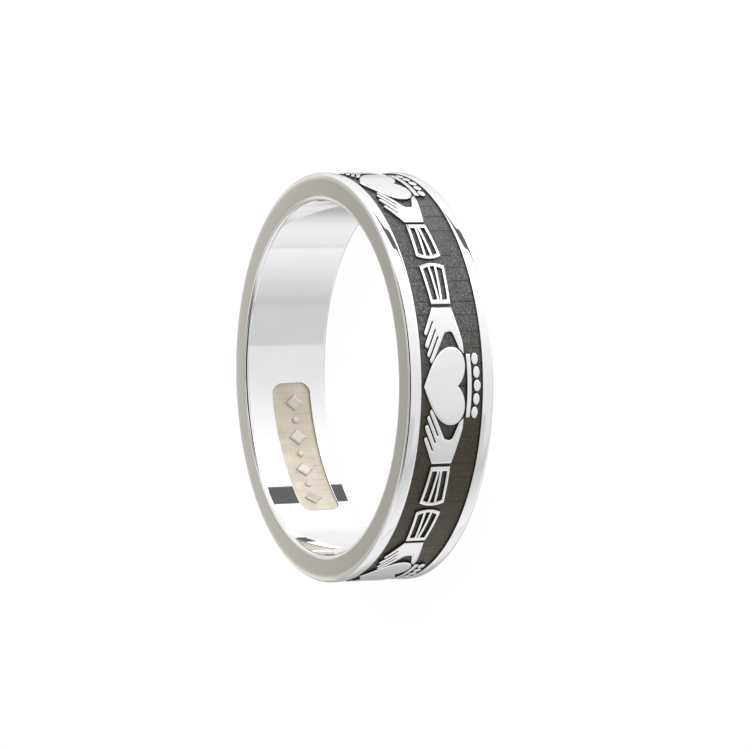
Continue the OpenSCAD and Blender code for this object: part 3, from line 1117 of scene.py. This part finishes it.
def pale_marks(finish, groups, name):
    """Marks of the plate: warm and half matt, brighter than the plate."""
    tree, shader = new_material(name)
    rough_low, rough_high = 0.28, 0.4
    drift = in_group(tree, groups["drift"], Size=0.6, Seed=3.0)["Tone"]
    grain = in_group(tree, groups["grain"], Grain=0.06)["Height"]
    feed(tree, shader, {
        "Base Color": fading(tree, drift, finish.mark, least=0.9),
        "Roughness": remapped(tree, drift, 0.0, 1.0, rough_low, rough_high),
        "Metallic": 0.7,
        "Normal": bump(tree, grain, strength=0.2, depth=0.004 * MM),
    })


def finishes(scene):
    """The ring's materials, made once and shared by its pieces."""
    names = {POLISHED: "polished_silver", SATIN: "satin_silver", BLACKENED: "blackened_silver",
             RELIEF: "relief_silver", PLATE: "matt_plate", PLATE_WALL: "plate_wall",
             MARK: "pale_marks"}
    if names[POLISHED] not in bpy.data.materials:
        finish = scene.ring_finish
        groups = {"grain": grain_group(), "line": line_group(), "drift": drift_group()}
        polished_silver(finish, groups, names[POLISHED], finish.polish, grain=0.3)
        polished_silver(finish, groups, names[RELIEF], finish.relief, grain=0.2)
        satin_silver(finish, groups, names[SATIN])
        blackened_silver(finish, groups, names[BLACKENED])
        matt_plate(finish, groups, names[PLATE], finish.plate_lit_end, finish.plate)
        matt_plate(finish, groups, names[PLATE_WALL], finish.plate_deep, finish.plate_wall)
        pale_marks(finish, groups, names[MARK])
    return {slot: bpy.data.materials[name] for slot, name in names.items()}


def settle(piece):
    """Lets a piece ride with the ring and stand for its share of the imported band."""
    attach(piece, "root")
    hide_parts("band")


def raise_around(scene, lay, name, shapes):
    """One piece of like raised shapes on every claddagh around the band."""
    band = scene.ring_band
    flat = joined([raised(loops, scene.ring_edge, band.channel_depth, RELIEF, BLACKENED)
                   for loops in shapes])
    copies = [flat.bent(lay.outer_r, k * lay.repeat - math.pi / 2, band.width / 2)
              for k in range(lay.heart.count)]
    settle(joined(copies).mesh(name, finishes(scene)))


def both_sides(loops):
    """Shapes on both sides of the heart, from the outlines of the right side."""
    right = [even(loop) for loop in loops]
    return [right, [mirrored(loop) for loop in right]]


class RING_OT_turn_band(bpy.types.Operator):
    """Turn the band: bore, side faces, rims, blackened channel and sunk plate"""
    bl_idname = "ring.turn_band"
    bl_label = "Turn the band"

    def execute(self, context):
        scene = context.scene
        band, plate = scene.ring_band, scene.ring_plate
        spare = 2 * STEP
        reach = plate.length / band.bore_d + spare
        turn = plate_turn(plate)
        window = math.floor((turn - reach) / STEP), math.ceil((turn + reach) / STEP)
        skin = joined([turned(band, window), recess(band, plate, window)])
        settle(skin.mesh("ring_band", finishes(scene)))
        return {"FINISHED"}


class RING_OT_raise_hearts(bpy.types.Operator):
    """Raise the hearts in the channel"""
    bl_idname = "ring.raise_hearts"
    bl_label = "Raise the hearts"

    def execute(self, context):
        lay = Layout(context.scene)
        raise_around(context.scene, lay, "hearts", [[heart_outline(lay)]])
        return {"FINISHED"}


class RING_OT_raise_crowns(bpy.types.Operator):
    """Raise the crowns with their beads"""
    bl_idname = "ring.raise_crowns"
    bl_label = "Raise the crowns"

    def execute(self, context):
        lay = Layout(context.scene)
        raise_around(context.scene, lay, "crowns", [[outline] for outline in crown_outlines(lay)])
        return {"FINISHED"}


class RING_OT_raise_hands(bpy.types.Operator):
    """Raise the hands on both sides of each heart"""
    bl_idname = "ring.raise_hands"
    bl_label = "Raise the hands"

    def execute(self, context):
        lay = Layout(context.scene)
        raise_around(context.scene, lay, "hands", both_sides([hand_outline(lay)]))
        return {"FINISHED"}


class RING_OT_raise_cuffs(bpy.types.Operator):
    """Raise the cuffs with their windows"""
    bl_idname = "ring.raise_cuffs"
    bl_label = "Raise the cuffs"

    def execute(self, context):
        lay = Layout(context.scene)
        raise_around(context.scene, lay, "cuffs", both_sides(cuff_outlines(lay)))
        return {"FINISHED"}


class RING_OT_set_marks(bpy.types.Operator):
    """Set the plain lozenges and dots on the plate"""
    bl_idname = "ring.set_marks"
    bl_label = "Set the plate's marks"

    def execute(self, context):
        scene = context.scene
        band, plate = scene.ring_band, scene.ring_plate
        flat = joined([raised([outline], scene.ring_edge, plate.depth, MARK, MARK)
                       for outline in mark_outlines(plate)])
        bent = flat.bent(band.bore_d / 2, plate_turn(plate), band.width / 2, inward=True)
        settle(bent.mesh("plate_marks", finishes(scene)))
        return {"FINISHED"}


# The studio is told in degrees: bearing from the camera's side, growing to the side that
# the picture shows above; height above the ring's plane; and distance from the back.

# Light around the ring: bearing and light
STUDIO_ROUND = [
    (-180, 0.74), (-170, 0.57), (-160, 0.38), (-149, 0.52), (-143, 0.48), (-136, 0.60),
    (-130, 0.74), (-122, 0.89), (-114, 0.94), (-99, 0.89), (-97, 0.81), (-94.5, 0.98),
    (-82, 0.90), (-66, 0.75), (-52, 0.62), (-47, 0.665), (-38, 0.795), (-24, 0.83),
    (-8, 0.845), (4, 0.89), (18, 0.97), (38, 1.10), (50, 2.0), (110, 1.9), (119, 1.06),
    (126, 0.99), (148, 0.94), (157, 0.70), (165, 0.60), (176, 0.84), (180, 0.74),
]
# Light of the grey card behind the ring: height and light
STUDIO_BACK = [
    (0, 0.60), (14, 0.60), (20, 0.58), (24.6, 0.53), (24.9, 0.565), (25.1, 0.51),
    (25.35, 0.40), (25.8, 0.375), (26.3, 0.43), (26.8, 0.405), (36, 0.40), (46, 0.62),
]
# More light than any in the tables
STUDIO_BRIGHTEST = 3.0

# The edges of a part of the studio are pairs: where it fades out, and where it is whole.

# Panel on the side that the picture shows below, with a crisp foot
PANEL_FOOT, PANEL_NEAR, PANEL_FAR = (-25.9, -25.6), (-20.5, -23.5), (-50, -44)
PANEL_LIGHT = 0.67
# Grey card at the back, paler by a share away from its middle
CARD_SIDE, CARD_FOOT = (35, 15), (-8, 8)
CARD_FADE, CARD_PALER = (3, 8), 1.45
# Dark openings above: one all around, which lets some light through, and one in front
ROUND_FOOT, ROUND_TOP, ROUND_SHARE = (56, 64), (78, 70), 0.75
FRONT_FOOT, FRONT_TOP, FRONT_SIDE = (40, 44), (88, 84), (80, 120)
OPENING_LIGHT = 0.05
# Dark bar: its bearing at the ring's height, its lean, and the share left of it above
BAR_BEARING, BAR_LEAN, BAR_SIDE = 96.0, 0.5, (8.4, 7.2)
BAR_FADE, BAR_SHARE = (-12, 10), 0.4
BAR_LIGHT = 0.145
# Tints of the light: from the back, and from everywhere else
WARM_SIDE, WARM_TINT = (34, 12), (1.0, 0.955, 0.885, 1)
COOL_TINT = (0.99, 0.99, 1.01, 1)
WHITE = (1, 1, 1, 1)

# The floor's corners, how far it lies below the ring, its two tones and its own light
FLOOR_SIDES = 64
FLOOR_DROP = 0.01 * MM
FLOOR_DARK, FLOOR_PALE = (0.25, 0.25, 0.25, 1), (0.27, 0.27, 0.27, 1)
FLOOR_GLOW = 0.88

# Width of the camera's sensor in millimetres, and what it sees in metres
SENSOR_MM = 36
NEAREST, FARTHEST = 0.01, 10


def light_by(tree, table, value, low, high):
    """Light from a table of degrees and light, read at a value in degrees."""
    ramp = add_node(tree, "ShaderNodeValToRGB", {"Fac": remapped(tree, value, low, high)})
    stops = ramp.color_ramp.elements
    while len(stops) < len(table):
        stops.new(1)
    # All places come before the colours, because a stop that moves can change their order
    for stop, (degrees, _) in zip(stops, table):
        stop.position = (degrees - low) / (high - low)
    for stop, (_, light) in zip(stops, table):
        stop.color = (*[light / STUDIO_BRIGHTEST] * 3, 1)
    return product(tree, ramp.outputs[0], STUDIO_BRIGHTEST)


def share_inside(tree, *edges):
    """Share of a part of the studio, inside all its soft edges."""
    return product(tree, *(remapped(tree, value, *edge, soft=True) for value, edge in edges))


def tent_light(tree, bearing, height):
    """Light of a white tent with a panel, a grey back, dark openings and a dark bar."""
    off_back = math_node(tree, "SUBTRACT", 180.0, math_node(tree, "ABSOLUTE", bearing))
    light = light_by(tree, STUDIO_ROUND, bearing, -180, 180)
    panel = share_inside(tree, (height, PANEL_FOOT), (bearing, PANEL_NEAR), (bearing, PANEL_FAR))
    light = blended(tree, panel, light, PANEL_LIGHT)

    card = share_inside(tree, (off_back, CARD_SIDE), (height, CARD_FOOT))
    paler = remapped(tree, off_back, *CARD_FADE, 1.0, CARD_PALER, soft=True)
    back = product(tree, light_by(tree, STUDIO_BACK, height, 0, 90), paler)
    light = blended(tree, card, light, back)

    all_round = share_inside(tree, (height, ROUND_FOOT), (height, ROUND_TOP))
    front = share_inside(tree, (height, FRONT_FOOT), (height, FRONT_TOP), (off_back, FRONT_SIDE))
    opening = math_node(tree, "MAXIMUM", product(tree, all_round, ROUND_SHARE), front)
    light = blended(tree, opening, light, OPENING_LIGHT)

    middle = math_node(tree, "MULTIPLY_ADD", height, BAR_LEAN, BAR_BEARING)
    off_bar = math_node(tree, "ABSOLUTE", math_node(tree, "SUBTRACT", bearing, middle))
    fade = remapped(tree, height, *BAR_FADE, 1.0, BAR_SHARE, soft=True)
    bar = product(tree, share_inside(tree, (off_bar, BAR_SIDE)), fade)
    light = blended(tree, bar, light, BAR_LIGHT)

    tint = mixed(tree, share_inside(tree, (off_back, WARM_SIDE)), COOL_TINT, WARM_TINT)
    return mixed(tree, 1.0, tint, light, blend="MULTIPLY")


def studio_light(scene):
    """The tent as the ring sees it, and plain white as the camera sees it."""
    world = bpy.data.worlds.new("studio_light")
    scene.world = world
    world.use_nodes = True
    tree = world.node_tree
    tree.nodes.clear()
    seen = tree.nodes.new("ShaderNodeTexCoord").outputs["Generated"]
    x, y, z = parted(tree, add_node(tree, "ShaderNodeVectorRotate", {
        "Vector": seen, "Angle": -scene.ring_studio.turn}, rotation_type="Z_AXIS").outputs[0])
    bearing = math_node(tree, "DEGREES", math_node(tree, "ARCTAN2", y, x))
    height = math_node(tree, "DEGREES", math_node(tree, "ARCSINE", z))
    straight = tree.nodes.new("ShaderNodeLightPath").outputs["Is Camera Ray"]
    background = add_node(tree, "ShaderNodeBackground", {
        "Color": mixed(tree, straight, tent_light(tree, bearing, height), WHITE),
        "Strength": scene.ring_studio.light})
    out = tree.nodes.new("ShaderNodeOutputWorld")
    feed(tree, out, {"Surface": background.outputs[0]})


def studio_floor(scene):
    """A plain pale round floor, lit from below as a light table is."""
    radius = scene.ring_studio.floor_r
    turns = [math.tau * i / FLOOR_SIDES for i in range(FLOOR_SIDES)]
    mesh = bpy.data.meshes.new("floor")
    mesh.from_pydata([(radius * math.cos(t), radius * math.sin(t), -FLOOR_DROP) for t in turns],
                     [], [list(range(FLOOR_SIDES))])
    tree, shader = new_material("pale_floor")
    cloud = add_node(tree, "ShaderNodeTexNoise", {"Scale": 40.0}).outputs[0]
    feed(tree, shader, {
        "Base Color": mixed(tree, cloud, FLOOR_DARK, FLOOR_PALE),
        "Roughness": 1.0,
        "Specular IOR Level": 0.0,
        "Emission Color": WHITE,
        "Emission Strength": FLOOR_GLOW,
    })
    mesh.materials.append(bpy.data.materials["pale_floor"])
    floor = bpy.data.objects.new("floor", mesh)
    scene.collection.objects.link(floor)
    floor.visible_glossy = False


def camera_axes(studio, back):
    """The camera's right, up and back, rolled and aimed so that the ring falls in its
    place in the picture."""
    up = Vector((0, 0, 1))
    ahead = -back
    right = -(up - up.dot(ahead) * ahead).normalized()
    above = right.cross(ahead)
    c, s = math.cos(studio.roll), math.sin(studio.roll)
    axes = Matrix((c * right + s * above, c * above - s * right, ahead)).transposed()
    focal_px = studio.focal / MM / SENSOR_MM * studio.picture
    aim = Vector(((studio.centre_x - studio.picture / 2) / focal_px,
                  (studio.picture / 2 - studio.centre_y) / focal_px, 1)).normalized()
    axes = axes @ aim.rotation_difference(up).to_matrix()
    axes.col[2] = -axes.col[2]
    return axes


def studio_camera(scene):
    """The camera at its measured place."""
    studio = scene.ring_studio
    level = math.cos(studio.elevation)
    back = Vector((level * math.cos(studio.turn), level * math.sin(studio.turn),
                   math.sin(studio.elevation)))
    middle = Vector((0, 0, scene.ring_band.width / 2))
    data = bpy.data.cameras.new("camera")
    data.sensor_width = SENSOR_MM
    data.lens = studio.focal / MM
    data.clip_start, data.clip_end = NEAREST, FARTHEST
    camera = bpy.data.objects.new("camera", data)
    camera.matrix_world = (Matrix.Translation(middle + back * studio.distance)
                           @ camera_axes(studio, back).to_4x4())
    scene.collection.objects.link(camera)
    scene.camera = camera


class RING_OT_light_studio(bpy.types.Operator):
    """Set the floor, the light and the camera"""
    bl_idname = "ring.light_studio"
    bl_label = "Light the studio"

    def execute(self, context):
        scene = context.scene
        scene.view_settings.view_transform = "Standard"
        studio_light(scene)
        studio_floor(scene)
        studio_camera(scene)
        return {"FINISHED"}


OPERATORS = (RING_OT_light_studio, RING_OT_turn_band, RING_OT_raise_hearts,
             RING_OT_raise_crowns, RING_OT_raise_hands, RING_OT_raise_cuffs, RING_OT_set_marks)


class RING_PT_panel(bpy.types.Panel):
    """Sidebar panel with the ring's steps and sizes"""
    bl_label = "Claddagh Ring"
    bl_idname = "RING_PT_panel"
    bl_space_type = "VIEW_3D"
    bl_region_type = "UI"
    bl_category = "Ring"

    def draw(self, context):
        for operator in OPERATORS:
            self.layout.operator(operator.bl_idname)
        for name in SETTINGS:
            box = self.layout.box()
            settings = getattr(context.scene, name)
            box.label(text=name.replace("_", " ").capitalize())
            for key in settings.__annotations__:
                box.prop(settings, key)


def register():
    """Adds the settings, the operators and the panel to Blender."""
    for group in SETTINGS.values():
        bpy.utils.register_class(group)
    for name, group in SETTINGS.items():
        setattr(bpy.types.Scene, name, PointerProperty(type=group))
    for operator in OPERATORS:
        bpy.utils.register_class(operator)
    bpy.utils.register_class(RING_PT_panel)


def unregister():
    """Takes the panel, the operators and the settings away again."""
    bpy.utils.unregister_class(RING_PT_panel)
    for operator in reversed(OPERATORS):
        bpy.utils.unregister_class(operator)
    for name in SETTINGS:
        delattr(bpy.types.Scene, name)
    for group in reversed(SETTINGS.values()):
        bpy.utils.unregister_class(group)


def main():
    """Builds the whole scene."""
    register()
    for operator in OPERATORS:
        family, name = operator.bl_idname.split(".")
        getattr(getattr(bpy.ops, family), name)()


if __name__ == "__main__":
    main()
